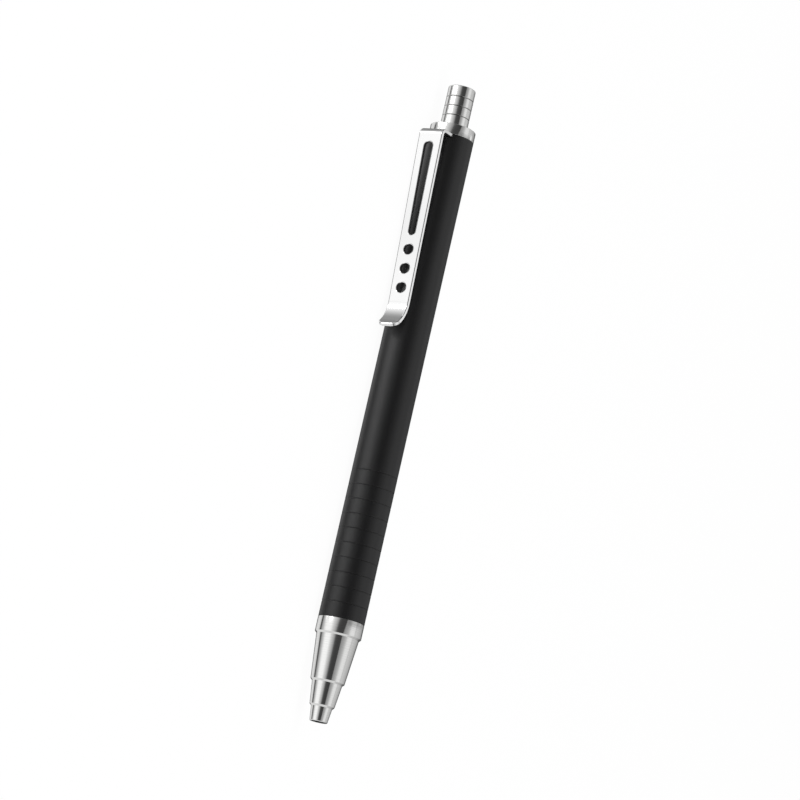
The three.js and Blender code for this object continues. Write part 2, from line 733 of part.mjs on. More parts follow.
// The roll, in radians, that brings the clip's corner down to the floor on which the barrel lies. The pen
// rolls until the first of the clip's corners comes level with the barrel's lowest line.
function restingRoll(clipGeometry) {
  const corners = clipGeometry.attributes.position;
  let furthest = 0;
  for (let i = 0; i < corners.count; i++) {
    const across = corners.getX(i);
    const out = corners.getZ(i);
    const distance = Math.hypot(across, out);
    if (distance > PEN_RADIUS) {
      furthest = Math.max(furthest, Math.atan2(across, out) + Math.acos(PEN_RADIUS / distance));
    }
  }
  return furthest - Math.PI;
}

const clipGeometry = clip();

const fixed = group(
  piece('nose_cone', noseCone(), turnedSteel()),
  piece('nose_sealing_ring', sealingRing(), rubber()),
  piece('barrel', barrel(), blackAnodised()),
  piece('barrel_front_insert', frontInsert(), brass()),
  piece('barrel_rear_insert', rearInsert(), brass()),
  piece('top_collar', topCollar(), turnedSteel()),
  piece('pocket_clip', clipGeometry, clipSteel()),
  piece('clip_washer', clipWasher(), springSteel()),
  piece('cam_sleeve', camSleeve(), camPlastic()),
  piece('return_spring', returnSpring(), springSteel()),
);

const button = group(
  piece('push_button', pushButton(), turnedSteel()),
  piece('plunger', plunger(), camPlastic()),
);

const rotor = group(piece('rotor_cam', rotorCam(), redPlastic()));

const refill = group(
  piece('writing_ball', writingBall(), turnedSteel()),
  piece('refill_point', refillPoint(), brass()),
  piece('refill_neck', refillNeck(), camPlastic()),
  piece('refill_tube', refillTube(), springSteel()),
  piece('ink_column', inkColumn(), ink()),
  piece('ink_follower', inkFollower(), grease()),
  piece('refill_rear_plug', refillRearPlug(), redPlastic()),
);
refill.position.y = POINT_RECESS;

// The rolled pen is laid down, then lifted until it stands on z = 0, with its box centred on the origin.
const rolled = group(fixed, button, rotor, refill);
rolled.rotation.y = restingRoll(clipGeometry);
const pen = group(rolled);
pen.rotation.z = Math.PI / 2;
pen.position.x = penLength / 2;
const box = new THREE.Box3().setFromObject(pen, true);
pen.position.y = -(box.min.y + box.max.y) / 2;
pen.position.z = -box.min.z;

const everydayPen = group(pen);
export default everydayPen;
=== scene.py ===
"""Fine surfaces, finishes, light and camera for a retractable ballpoint pen that lies on a white table.

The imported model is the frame. It gives the pen's axis, its ends and the side that the clip is on, and each
piece that is made here stands where its node does, at the same size.
"""

import json
import math

import bpy
import numpy as np
from bpy.props import FloatProperty, FloatVectorProperty, IntProperty, PointerProperty
from mathutils import Matrix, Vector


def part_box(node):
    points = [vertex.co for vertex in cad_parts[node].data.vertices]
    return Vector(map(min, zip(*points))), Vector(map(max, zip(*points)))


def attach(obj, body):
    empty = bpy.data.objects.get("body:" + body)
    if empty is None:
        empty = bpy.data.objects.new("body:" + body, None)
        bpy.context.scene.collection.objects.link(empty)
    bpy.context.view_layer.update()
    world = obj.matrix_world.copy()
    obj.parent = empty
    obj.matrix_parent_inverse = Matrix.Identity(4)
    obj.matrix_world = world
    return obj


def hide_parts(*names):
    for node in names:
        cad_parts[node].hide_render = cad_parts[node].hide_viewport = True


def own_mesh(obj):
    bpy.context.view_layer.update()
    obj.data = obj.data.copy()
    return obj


bl_info = {
    "name": "Retractable Pen",
    "version": (1, 0, 0),
    "blender": (4, 5, 0),
    "location": "View3D > Sidebar > Pen",
    "description": "Makes the finished surfaces, the light and the camera of a retractable ballpoint pen",
    "category": "Add Mesh",
}

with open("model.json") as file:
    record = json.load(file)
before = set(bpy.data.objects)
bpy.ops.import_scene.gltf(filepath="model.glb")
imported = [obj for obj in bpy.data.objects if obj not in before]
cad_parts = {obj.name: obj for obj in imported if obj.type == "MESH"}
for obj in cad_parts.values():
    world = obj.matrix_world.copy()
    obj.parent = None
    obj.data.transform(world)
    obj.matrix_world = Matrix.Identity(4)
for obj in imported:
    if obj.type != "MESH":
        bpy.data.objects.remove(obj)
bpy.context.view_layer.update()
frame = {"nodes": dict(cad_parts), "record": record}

MM = 0.001

MOUNTS = {mount["name"]: mount for mount in frame["record"]["mounts"]}
BARREL_LOW, BARREL_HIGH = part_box("barrel")
TIP_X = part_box("nose_cone")[1].x
TAIL_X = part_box("push_button")[0].x
AXIS_Y = (BARREL_LOW.y + BARREL_HIGH.y) / 2
AXIS_Z = MOUNTS["button_face"]["pos_m"][2]

# Unit vectors: along the pen, from its axis to its clip (which is the clip face's normal without its part
# along X), and across both
ALONG = (1.0, 0.0, 0.0)
_, OUT_Y, OUT_Z = MOUNTS["clip_face"]["axis"]
OUT = np.array([0.0, OUT_Y, OUT_Z]) / math.hypot(OUT_Y, OUT_Z)
ACROSS = np.cross(OUT, ALONG)

# Distances from the nose's tip
BARREL_FRONT = TIP_X - BARREL_HIGH.x
BARREL_REAR = TIP_X - BARREL_LOW.x
PEN_LENGTH = TIP_X - TAIL_X


def length(name, description, millimetres):
    """A size in metres that the user can change."""
    return FloatProperty(
        name=name, description=description, default=millimetres * MM, min=0.0, unit="LENGTH", precision=5)


def colour(name, description, red, green, blue):
    """A colour that the user can change."""
    return FloatVectorProperty(
        name=name, description=description, subtype="COLOR", default=(red, green, blue), min=0.0, max=1.0)


class PenSizes(bpy.types.PropertyGroup):
    """Sizes of the pen's outside"""

    pen_radius: length("Pen radius", "Radius of the barrel, the nose's band and the collar", 4.66)
    button_radius: length("Button radius", "Radius of the push button", 2.8)
    grip_grooves: IntProperty(
        name="Grip grooves", description="Fine grooves round the front of the barrel", default=10, min=0)
    grip_first: length("First grip groove", "From the barrel's front end to its first groove", 3.1)
    grip_pitch: length("Grip pitch", "From one grip groove to the next", 2.98)
    grip_width: length("Grip groove width", "Width of a grip groove", 0.23)
    grip_depth: length("Grip groove depth", "Depth of a grip groove", 0.11)
    button_grooves: IntProperty(
        name="Button grooves", description="Fine grooves round the push button", default=3, min=0)
    button_first: length("First button groove", "From the button's top to its first groove", 2.38)
    button_pitch: length("Button pitch", "From one button groove to the next", 1.99)
    button_width: length("Button groove width", "Width of a button groove", 0.24)
    button_depth: length("Button groove depth", "Depth of a button groove", 0.13)
    clip_thickness: length("Clip thickness", "Thickness of the clip's strip", 0.8)
    clip_top_width: length("Clip width at the top", "Width of the clip's strip at its bend", 5.5)
    clip_end_width: length("Clip width at the end", "Width of the clip's strip at its flared end", 4.6)
    clip_corner: length("Clip corner", "Radius of the round corners at the clip's flared end", 1.5)
    clip_bevel: length("Clip bevel", "Width of the bevel along the clip's edges", 0.10)
    clip_roll: length("Clip roll-over", "Width of the slight slope between the face and the bevel", 0.10)


class PenColours(bpy.types.PropertyGroup):
    """Colours of the pen's finishes"""

    barrel: colour("Barrel", "Satin black finish of the barrel", 0.006, 0.006, 0.0065)
    turned_steel: colour("Turned steel", "Steel of the nose, the collar and the button", 0.88, 0.88, 0.87)
    clip_steel: colour("Clip steel", "Bright steel of the clip", 0.95, 0.95, 0.95)
    spring_steel: colour("Spring steel", "Steel of the spring, the washer and the tube", 0.56, 0.57, 0.58)
    hard_metal: colour("Hard metal", "Metal of the writing ball", 0.62, 0.61, 0.60)
    brass: colour("Brass", "Brass of the bushes and of the refill's point", 0.62, 0.44, 0.19)
    cam_plastic: colour("Cam plastic", "Plastic of the sleeve, the plunger and the neck", 0.80, 0.77, 0.68)
    red_plastic: colour("Red plastic", "Plastic of the cam and of the refill's plug", 0.45, 0.05, 0.03)
    rubber: colour("Rubber", "Rubber of the sealing ring", 0.012, 0.012, 0.012)
    ink: colour("Ink", "Ink in the refill", 0.008, 0.010, 0.035)
    grease: colour("Grease", "Grease behind the ink", 0.68, 0.58, 0.30)


# Profiles, as rows of (radius, distance from the nose's tip)


def unit(vectors):
    """The vectors at length 1, and at 0 where they have no length."""
    return vectors / np.maximum(np.linalg.norm(vectors, axis=-1, keepdims=True), 1e-12)


def rounded(corners, steps=5, closed=True):
    """Profile through corners given as (radius, y, fillet), in metres.

    A fillet is an arc that is tangent to both sides of its corner: centre + fillet * a unit vector that
    turns at a steady rate from the first tangent point to the second.
    """
    points = []
    for i, (radius, y, fillet) in enumerate(corners):
        here = np.array([radius, y])
        if fillet == 0 or (not closed and i in (0, len(corners) - 1)):
            points.append(here[None])
            continue
        sides = [unit(np.array(corners[k % len(corners)][:2]) - here) for k in (i - 1, i + 1)]
        half = math.acos(sides[0] @ sides[1]) / 2
        centre = here + unit(sides[0] + sides[1]) * fillet / math.sin(half)
        start, end = ((here + side * fillet / math.tan(half) - centre) / fillet for side in sides)
        sweep = math.acos(start @ end)
        t = np.linspace(0, 1, steps + 1)[:, None]
        arc = (np.sin((1 - t) * sweep) * start + np.sin(t * sweep) * end) / math.sin(sweep)
        points.append(centre + fillet * arc)
    return np.concatenate(points)


def in_metres(rows):
    """Corners (radius, y, fillet) in millimetres as metres. A missing fillet is 0."""
    return [tuple(value * MM for value in (*row, 0)[:3]) for row in rows]


def groove_corners(radius, first, pitch, count, width, depth):
    """Corners of a run of grooves with soft lips in a wall of this radius, by rising y. A plain point on
    either side of a groove keeps the wall's reflection straight."""
    corners = []
    for i in range(count):
        y = first + i * pitch
        lip = width / 6
        corners += [
            (radius, y - width, 0), (radius, y - width / 2, lip), (radius - depth, y, lip),
            (radius, y + width / 2, lip), (radius, y + width, 0)]
    return corners


# Meshes


def place(radius, angle, y):
    """Pen coordinates to places in the frame.

    X = tip - y; the rest is axis + radius * (cos(angle) * out to the clip + sin(angle) * across it).
    """
    radius, angle, y = np.broadcast_arrays(radius, angle, y)
    out = (radius * np.cos(angle))[..., None] * OUT
    across = (radius * np.sin(angle))[..., None] * ACROSS
    return out + across + np.stack([TIP_X - y, np.full_like(y, AXIS_Y), np.full_like(y, AXIS_Z)], axis=-1)


def lay(across, out, y):
    """Like place(), from distances across the pen and out towards its clip."""
    return place(np.hypot(across, out), np.arctan2(across, out), y)


def grid_faces(rows, columns, wrap_rows=False, wrap_columns=False, start=0):
    """Quads between neighbouring points of a grid. They face outwards where the rows run along the outer
    wall towards the pen's rear and the columns turn from OUT to ACROSS."""
    index = start + np.arange(rows * columns).reshape(rows, columns)
    if wrap_rows:
        index = np.concatenate([index, index[:1]])
    if wrap_columns:
        index = np.concatenate([index, index[:, :1]], axis=1)
    quads = [index[:-1, :-1], index[:-1, 1:], index[1:, 1:], index[1:, :-1]]
    return np.stack(quads, axis=-1).reshape(-1, 4)


def link_object(name, data):
    """A new object with this data, in the scene."""
    made = bpy.data.objects.new(name, data)
    bpy.context.scene.collection.objects.link(made)
    return made


def weld(points):
    """Points in the same place become one: the points that stay, and for each point the one it becomes."""
    keys = np.round(points / (MM * 1e-4)).astype(np.int64)
    _, stay, index = np.unique(keys, axis=0, return_index=True, return_inverse=True)
    return stay, index.reshape(-1)


def mesh_object(name, points, quads, normals=None, sharp=35):
    """One object from points and quads, smooth but for edges that turn by more than the sharp angle.

    Points in the same place become one, and their normals, if given, are averaged. A quad with three
    corners left becomes a triangle, and one with fewer goes.
    """
    points = points.reshape(-1, 3)
    stay, index = weld(points)
    quads = index[quads]
    distinct = quads != np.roll(quads, -1, axis=1)
    left = distinct.sum(axis=1)
    whole, three = left == 4, left == 3
    triangles = quads[three][distinct[three]].reshape(-1, 3)
    mesh = bpy.data.meshes.new(name)
    mesh.from_pydata(points[stay], [], [*quads[whole].tolist(), *triangles.tolist()])
    mesh.polygons.foreach_set("use_smooth", np.ones(len(mesh.polygons), dtype=bool))
    if normals is None:
        mesh.set_sharp_from_angle(angle=math.radians(sharp))
    else:
        total = np.zeros((len(stay), 3))
        np.add.at(total, index, normals.reshape(-1, 3))
        mesh.normals_split_custom_set_from_vertices(unit(total))
    mesh.update()
    return link_object(name, mesh)


def shell(name, layers, quads, sharp):
    """A closed shell from layers that lie over each other and have the same quads.

    The first and the last layer are its two faces. An edge of the sheet that only one quad has is its
    border, and there each layer is joined to the next.
    """
    stay, index = weld(layers[0])
    quads = index[quads]
    count = len(stay)
    start, end = quads.reshape(-1), np.roll(quads, -1, axis=1).reshape(-1)
    border = ~np.isin(start * count + end, end * count + start)
    start, end = start[border], end[border]
    faces = [quads, quads[:, ::-1] + (len(layers) - 1) * count]
    for above in range(0, (len(layers) - 1) * count, count):
        below = above + count
        faces.append(np.stack([end + above, start + above, start + below, end + below], axis=1))
    used, faces = np.unique(np.concatenate(faces), return_inverse=True)
    points = np.concatenate([layer[stay] for layer in layers])[used]
    return mesh_object(name, points, faces.reshape(-1, 4), sharp=sharp)


def turned(name, profile, sides=192, thread=None):
    """Closed surface of revolution: point(row, column) = place(radius, 2 pi column / sides, y).

    A row's normal is the sum of its two segments' normals, each as long as its segment, so that a straight
    stretch beside a fillet reflects as a straight one. A thread is (from y, to y, pitch, depth): there the
    radius shrinks by depth * 2 * (the distance of y / pitch - angle / 2 pi from the nearest whole number),
    and less towards both ends.
    """
    rows_in_pitch = 8
    angle = np.linspace(0, 2 * np.pi, sides, endpoint=False)[None]
    if thread:
        start, end, pitch, depth = thread
        rows = np.linspace(start, end, round((end - start) / pitch * rows_in_pitch) + 1)[1:-1]
        at = np.flatnonzero(np.isclose(profile[:, 1], start))[-1]
        wall = np.stack([np.full_like(rows, profile[at, 0]), rows], axis=1)
        profile = np.insert(profile, at + 1, wall, axis=0)
    radius, y = profile[:, :1], profile[:, 1:]
    if thread:
        turn = y / pitch - angle / (2 * np.pi)
        away = np.abs(turn - np.round(turn)) * 2
        inside = np.clip(np.minimum(y - start, end - y) / pitch, 0, 1)
        on_wall = np.zeros(radius.shape)
        on_wall[at + 1:at + 1 + len(rows)] = 1
        radius = radius - depth * away * inside * on_wall
        normals = None
    else:
        step = np.roll(profile, -1, axis=0) - profile
        side = np.stack([step[:, 1], -step[:, 0]], axis=1)
        side = unit(side + np.roll(side, 1, axis=0))
        normals = place(side[:, :1], angle, side[:, 1:]) - place(0.0, angle, 0.0)
    return mesh_object(name, place(radius, angle, y), grid_faces(len(profile), sides, True, True), normals)


def give_values(piece, name, values):
    """An attribute of this name, with a value for each point of the piece."""
    attribute = piece.data.attributes.new(name, "FLOAT", "POINT")
    attribute.data.foreach_set("value", values.reshape(-1).astype(np.float32))


def mark_recess_shade(piece, radius, depth, first, last):
    """Gives a turned piece the recess attribute, which masks its painted shade: (radius - the point's own) /
    depth, from 0 to 1, between two distances from the nose's tip, and only near the radius."""
    co = np.empty((len(piece.data.vertices), 3))
    piece.data.vertices.foreach_get("co", co.reshape(-1))
    own = np.hypot(co[:, 1] - AXIS_Y, co[:, 2] - AXIS_Z)
    y = TIP_X - co[:, 0]
    near = (y > first - depth * 2) & (y < last + depth * 2) & (own > radius * 0.8)
    give_values(piece, "recess", np.clip((radius - own) / depth, 0, 1) * near)


def finish_piece(piece, body, slot, *nodes):
    """The piece takes the finish of its slot, rides on its body and stands for its nodes."""
    piece.data.materials.append(bpy.data.materials[f"{slot}_finish"])
    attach(piece, body)
    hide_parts(*nodes)


# Finishes


class Nodes:
    """The nodes of a material or a world, with short ways to add to them."""

    def __init__(self, owner):
        owner.use_nodes = True
        self.nodes = owner.node_tree.nodes
        self.links = owner.node_tree.links

    def add(self, kind, **values):
        """A new node. The values are its own settings, or numbers for its sockets, or sockets that are
        linked to them, by the socket's name or as i0, i1 and i2 by its number."""
        node = self.nodes.new("ShaderNode" + kind)
        for name, value in values.items():
            key = int(name[1]) if name in ("i0", "i1", "i2") else name
            if hasattr(node, name):
                setattr(node, name, value)
            elif isinstance(value, bpy.types.NodeSocket):
                self.links.new(value, node.inputs[key])
            else:
                node.inputs[key].default_value = value
        return node

    def scaled(self, value, factor, offset=0.0):
        """value * factor + offset"""
        return self.add("Math", operation="MULTIPLY_ADD", i0=value, i1=factor, i2=offset).outputs[0]

    def seen_share(self, direct, reflected):
        """The share `direct` for rays from the camera, `reflected` for glossy and transmission rays, and 0
        for light that spreads."""
        path = self.add("LightPath").outputs
        total = self.scaled(path["Is Camera Ray"], direct)
        for ray in ("Is Glossy Ray", "Is Transmission Ray"):
            share = self.scaled(path[ray], reflected)
            total = self.add("Math", operation="MAXIMUM", i0=total, i1=share).outputs[0]
        return total


class Finish(Nodes):
    """A Principled material under construction."""

    def __init__(self, name, rgb, **values):
        self.material = bpy.data.materials.new(name)
        super().__init__(self.material)
        self.shader = self.nodes["Principled BSDF"]
        self.shader.inputs["Base Color"].default_value = (*rgb, 1)
        for socket, value in values.items():
            self.shader.inputs[socket.replace("_", " ")].default_value = value

    def lines(self, size, detail=2.0):
        """Noise that changes only along the pen, over lengths of this size."""
        position = self.add("TexCoord").outputs["Object"]
        along = self.add("VectorMath", operation="DOT_PRODUCT", i0=position, i1=ALONG)
        spread = self.scaled(along.outputs["Value"], 1 / size)
        noise = self.add("TexNoise", noise_dimensions="1D", W=spread, Scale=1.0, Detail=detail)
        return noise.outputs["Fac"]

    def grain(self, size, detail=2.0, stretch=(1, 1, 1)):
        """Noise in space, over lengths of this size, stretched by these factors."""
        position = self.add("TexCoord").outputs["Object"]
        mapped = self.add("Mapping", Vector=position, Scale=tuple(1 / factor for factor in stretch))
        noise = self.add("TexNoise", Vector=mapped.outputs[0], Scale=1 / size, Detail=detail)
        return noise.outputs["Fac"]

    def bump(self, height, distance):
        """A bump on top of what the shader's normal already has. Heights of 0 to 1 span this distance."""
        node = self.add("Bump", Height=height, Distance=distance, Strength=1.0)
        normal = self.shader.inputs["Normal"]
        if normal.is_linked:
            self.links.new(normal.links[0].from_socket, node.inputs["Normal"])
        self.links.new(node.outputs["Normal"], normal)

    def roughness(self, value, low, high):
        """Roughness that runs from low to high as the value runs from 0 to 1."""
        self.links.new(self.scaled(value, high - low, low), self.shader.inputs["Roughness"])

    def scale_colour(self, level):
        """The base colour as it is so far, times this level."""
        socket = self.shader.inputs["Base Color"]
        rgb = socket.links[0].from_socket if socket.is_linked else tuple(socket.default_value)[:3]
        scaled = self.add("VectorMath", operation="SCALE", i0=rgb, Scale=level)
        self.links.new(scaled.outputs[0], socket)

    def shade(self, value, spread):
        """Base colour that is darker or lighter by up to this share, as the value runs from 0 to 1."""
        self.scale_colour(self.scaled(value, 2 * spread, 1 - spread))

    def surface(self, pattern, height, cloud, low, high, spread):
        """The pattern's bump of this height, a cloudy roughness, and the pattern's shade."""
        self.bump(pattern, height)
        self.roughness(self.grain(cloud), low, high)
        self.shade(pattern, spread)

    def paint_recess_shade(self, share=0.85):
        """Painted shade: darker by this share where the mesh's recess attribute is 1, in grooves and in a
        bore's mouth.
        """
        recess = self.add("Attribute", attribute_name="recess").outputs["Fac"]
        self.scale_colour(self.scaled(recess, -share, 1.0))

    def show(self, shader):
        """This shader, and not the Principled one, is the material's surface."""
        self.links.new(shader.outputs[0], self.nodes["Material Output"].inputs["Surface"])


def turned_steel(rgb):
    """Bright steel with the fine lines that a lathe leaves round the pen's axis, and painted shade in its
    grooves and bore.
    """
    made = Finish("turned_steel_finish", rgb, Metallic=1.0)
    made.bump(made.lines(0.09 * MM, 3.0), 0.0025 * MM)
    made.bump(made.lines(0.6 * MM), 0.005 * MM)
    made.roughness(made.lines(0.35 * MM), 0.05, 0.13)
    made.shade(made.lines(0.18 * MM, 3.0), 0.10)
    # painted shade: the steel is darker where the recess attribute marks grooves and the bore's mouth
    made.paint_recess_shade()


def clip_steel(rgb):
    """Polished steel strip, with a faint brushed grain along it."""
    made = Finish("clip_steel_finish", rgb, Metallic=1.0)
    made.surface(made.grain(0.05 * MM, 3.0, (40, 1, 1)), 0.0006 * MM, 1.5 * MM, 0.05, 0.11, 0.02)


def black_barrel(rgb):
    """Satin black finish with a fine even grain and a faint cloudiness."""
    made = Finish("black_barrel_finish", rgb)
    made.surface(made.grain(0.08 * MM, 3.0), 0.002 * MM, 2.5 * MM, 0.36, 0.44, 0.15)


def machined(name, rgb, low, high):
    """Machined metal, with lathe lines and a cloudy sheen."""
    made = Finish(name, rgb, Metallic=1.0)
    made.surface(made.lines(0.08 * MM), 0.003 * MM, 0.8 * MM, low, high, 0.06)


def moulded(name, rgb, low, high, translucence):
    """Moulded plastic, rubber, ink or grease, with a fine grain."""
    made = Finish(name, rgb, Subsurface_Weight=translucence)
    made.surface(made.grain(0.12 * MM), 0.003 * MM, 1.2 * MM, low, high, 0.05)


# Lowest and highest roughness, and how much light goes in
MACHINED = {"spring_steel": (0.20, 0.35), "hard_metal": (0.08, 0.16), "brass": (0.22, 0.36)}
MOULDED = {
    "cam_plastic": (0.38, 0.52, 0.1), "red_plastic": (0.34, 0.48, 0), "rubber": (0.65, 0.85, 0),
    "ink": (0.10, 0.16, 0), "grease": (0.20, 0.30, 0)}


class PEN_OT_finishes(bpy.types.Operator):
    """Make the materials of all pieces"""

    bl_idname = "pen.finishes"
    bl_label = "Finishes"

    def execute(self, context):
        colours = context.scene.pen_colours
        turned_steel(colours.turned_steel)
        clip_steel(colours.clip_steel)
        black_barrel(colours.barrel)
        for finish, kinds in ((machined, MACHINED), (moulded, MOULDED)):
            for name, values in kinds.items():
                finish(f"{name}_finish", getattr(colours, name), *values)
        return {"FINISHED"}


# Outside pieces, with their corners as (radius, distance from the nose's tip, fillet)


THREAD = (0.75 * MM, 0.3 * MM)  # its pitch and its depth


class PEN_OT_nose(bpy.types.Operator):
    """Make the turned steel nose, with its thread for the barrel"""

    bl_idname = "pen.nose"
    bl_label = "Nose"

    def execute(self, context):
        radius = context.scene.pen_sizes.pen_radius / MM
        corners = [
            (1.32, 0, 0.05), (1.68, 0, 0.02), (1.8, 0.12, 0.04), (2.12, 2.88, 0.05), (2.5, 3.26, 0.05),
            (3.03, 7.76, 0.05), (3.42, 8.14, 0.05), (4.28, 17.08, 0.05), (radius, 17.46, 0.05),
            (radius, 20.36, 0.06), (3.55, 20.36), (3.55, 20.86), (3.24, 20.86), (3.24, 21.72),
            (3.55, 21.72), (3.55, 30.36), (3.1, 30.36), (3.1, 12.3), (2.25, 12.3), (2.25, 7.0), (1.32, 7.0)]
        thread = (21.72 * MM, 30.36 * MM, *THREAD)
        nose = turned("nose", rounded(in_metres(corners)), thread=thread)
        bore, mouth = 1.32 * MM, 0.06 * MM
        # painted shade in the mouth of the nose's bore, so that it reads dark
        mark_recess_shade(nose, bore + mouth, mouth / 3, 0.0, 7.0 * MM)
        finish_piece(nose, "barrel_body", "turned_steel", "nose_cone")
        return {"FINISHED"}


class PEN_OT_barrel(bpy.types.Operator):
    """Make the black barrel, with its grip grooves and the notch for the clip"""

    bl_idname = "pen.barrel"
    bl_label = "Barrel"

    def execute(self, context):
        """The profile is turned, and where the angle is within the notch, the rows of the rear rim are
        lower by the clip's thickness. The notch's sides are parallel: at each radius its half angle is
        arcsin(half width / radius)."""
        sizes = context.scene.pen_sizes
        radius = sizes.pen_radius
        bore, edge, play = 4.1 * MM, 0.1 * MM, 0.05 * MM
        notch_half = sizes.clip_top_width / 2 + play
        drop = sizes.clip_thickness + play
        low = BARREL_REAR - 2 * edge - drop
        outer = [(bore, BARREL_FRONT, 0), (radius, BARREL_FRONT, edge), (radius, BARREL_FRONT + 2 * edge, 0)]
        outer += groove_corners(
            radius, BARREL_FRONT + sizes.grip_first, sizes.grip_pitch, sizes.grip_grooves,
            sizes.grip_width, sizes.grip_depth)
        outer = rounded([*outer, (radius, low, 0)], closed=False)
        top = [(radius, BARREL_REAR - 2 * edge, 0), (radius, BARREL_REAR, edge), (bore, BARREL_REAR, edge)]
        rim = rounded([*top, (bore, low, 0)], closed=False)
        inner = rounded(in_metres([(4.1, 102.8), (3.3, 102.8), (3.3, 31.58), (4.1, 31.58)]))
        profile = np.concatenate([outer, rim, inner])
        lowered = np.zeros((len(profile), 1))
        lowered[len(outer):len(outer) + len(rim) - 1] = drop

        half_angle = np.arcsin(notch_half / np.maximum(profile[:, :1], bore))
        share = np.linspace(-1, 1, 33)[None]
        within = np.arcsin(share * np.sin(half_angle))
        round_about = half_angle + np.linspace(0, 1, 161)[None] * (2 * np.pi - 2 * half_angle)
        angle = np.concatenate([within, round_about], axis=1)
        in_notch = np.repeat([1.0, 0.0], [within.shape[1], round_about.shape[1]])[None]
        y = profile[:, 1:] - lowered * in_notch
        quads = grid_faces(*angle.shape, True, True)
        barrel = mesh_object("barrel_shell", place(profile[:, :1], angle, y), quads)
        finish_piece(barrel, "barrel_body", "black_barrel", "barrel")
        return {"FINISHED"}


class PEN_OT_collar(bpy.types.Operator):
    """Make the steel collar, with its thread for the barrel"""

    bl_idname = "pen.collar"
    bl_label = "Collar"

    def execute(self, context):
        radius = context.scene.pen_sizes.pen_radius / MM
        corners = [
            (2.95, 115.2), (3.55, 115.2), (3.55, 119.6), (3.55, 121.09), (radius, 121.09, 0.05),
            (radius, 123.28, 0.16), (2.95, 123.28, 0.1)]
        thread = (115.2 * MM, 119.6 * MM, *THREAD)
        collar = turned("collar", rounded(in_metres(corners)), thread=thread)
        finish_piece(collar, "barrel_body", "turned_steel", "top_collar")
        return {"FINISHED"}


class PEN_OT_button(bpy.types.Operator):
    """Make the push button, with its grooves and its slightly domed top"""

    bl_idname = "pen.button"
    bl_label = "Push button"

    def execute(self, context):
        sizes = context.scene.pen_sizes
        radius = sizes.button_radius
        first = PEN_LENGTH - sizes.button_first - (sizes.button_grooves - 1) * sizes.button_pitch
        corners = [*in_metres([(1.95, 121.58)]), (radius, 121.58 * MM, 0.1 * MM)]
        corners += groove_corners(
            radius, first, sizes.button_pitch, sizes.button_grooves, sizes.button_width, sizes.button_depth)
        corners += [
            (radius, PEN_LENGTH - 0.04 * MM, 0.26 * MM), (radius * 0.55, PEN_LENGTH - 0.01 * MM, 0),
            (0, PEN_LENGTH, 0), *in_metres([(0, 126.38), (1.95, 126.38)])]
        button = turned("button_cap", rounded(corners))
        # painted shade deep in the button's grooves
        mark_recess_shade(button, radius, sizes.button_depth, first, PEN_LENGTH - sizes.button_first)
        finish_piece(button, "button", "turned_steel", "push_button")
        return {"FINISHED"}


# The clip's strip, from its ring to its flared end
RING_INSIDE = 3.6 * MM
RING_OUTSIDE = 4.0 * MM
FACE_OUT = 7.6 * MM  # from the pen's axis to the arm's face at the bend
BEND_INSIDE = 0.5 * MM
TOP_TURN = math.radians(93.4)
ARM_LENGTH = 34.9 * MM
FLARE_RADIUS = 6.2 * MM
FLARE_TURN = math.radians(49)
TAIL_LENGTH = 1.2 * MM
# Its slot and its holes, in millimetres below its top
SLOT_DOWN = (2.97, 22.47)
SLOT_RADII = (1.025 * MM, 0.8 * MM)
HOLES_DOWN = (25.4, 29.35, 33.3)
HOLE_RADIUS = 1.075 * MM
# Slopes of its roll-over and of its bevel, down from its face
ROLL_SLOPE = math.radians(18)
BEVEL_SLOPE = math.radians(40)


